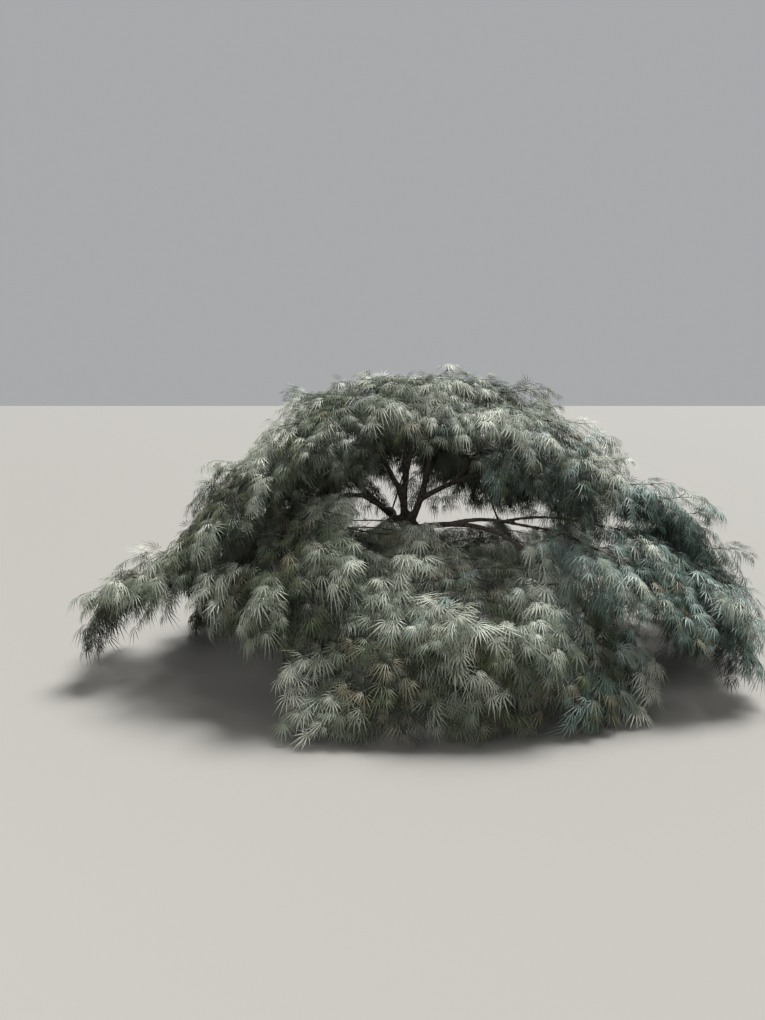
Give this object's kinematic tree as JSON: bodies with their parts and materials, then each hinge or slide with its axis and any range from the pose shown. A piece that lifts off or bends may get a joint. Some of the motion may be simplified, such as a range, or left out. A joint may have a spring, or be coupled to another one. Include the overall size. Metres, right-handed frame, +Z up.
{
  "type": "weeping laceleaf maple tree",
  "caption": "Mature weeping laceleaf maple: a short leaning trunk, arching boughs and a wide layered dome of drooping, finely cut foliage that reaches the ground.",
  "frame": {"origin": "middle of the level cut under the trunk's foot, at ground level", "axes": "+Z up; -Y towards the front, the side the picture shows; +X to the right as seen from the front"},
  "size_m": [3.9206, 2.749, 1.7176],
  "materials": {
    "bark": "rough, finely fissured dark grey-brown bark",
    "young_bark": "smoother brown-grey bark of the boughs",
    "foliage": "soft grey-green cut leaves with a faint sheen"
  },
  "bodies": {
    "root": {"trunk": "bark", "bough_collar_back": "young_bark", "bough_collar_left": "young_bark", "bough_collar_right": "young_bark", "bough_shoulder_back": "young_bark", "bough_shoulder_back_left": "young_bark", "bough_shoulder_back_right": "young_bark", "bough_shoulder_front": "young_bark", "bough_shoulder_front_left": "young_bark", "bough_shoulder_front_right": "young_bark", "bough_shoulder_left_back": "young_bark", "bough_shoulder_left_front": "young_bark", "bough_shoulder_right": "young_bark", "bough_skirt_back": "young_bark", "bough_skirt_back_left": "young_bark", "bough_skirt_back_right": "young_bark", "bough_skirt_front": "young_bark", "bough_skirt_front_left": "young_bark", "bough_skirt_front_right": "young_bark", "bough_skirt_left": "young_bark", "bough_skirt_right_back": "young_bark", "bough_skirt_right_front": "young_bark", "bough_tip": "young_bark", "bough_top_back_left": "young_bark", "bough_top_back_right": "young_bark", "bough_top_front_left": "young_bark", "bough_top_front_right": "young_bark", "foliage_collar_back": "foliage", "foliage_collar_left": "foliage", "foliage_collar_right": "foliage", "foliage_shoulder_back": "foliage", "foliage_shoulder_back_left": "foliage", "foliage_shoulder_back_right": "foliage", "foliage_shoulder_front": "foliage", "foliage_shoulder_front_left": "foliage", "foliage_shoulder_front_right": "foliage", "foliage_shoulder_left_back": "foliage", "foliage_shoulder_left_front": "foliage", "foliage_shoulder_right": "foliage", "foliage_skirt_back": "foliage", "foliage_skirt_back_left": "foliage", "foliage_skirt_back_right": "foliage", "foliage_skirt_front": "foliage", "foliage_skirt_front_left": "foliage", "foliage_skirt_front_right": "foliage", "foliage_skirt_left": "foliage", "foliage_skirt_right_back": "foliage", "foliage_skirt_right_front": "foliage", "foliage_tip": "foliage", "foliage_top_back_left": "foliage", "foliage_top_back_right": "foliage", "foliage_top_front_left": "foliage", "foliage_top_front_right": "foliage"}
  },
  "joints": []
}
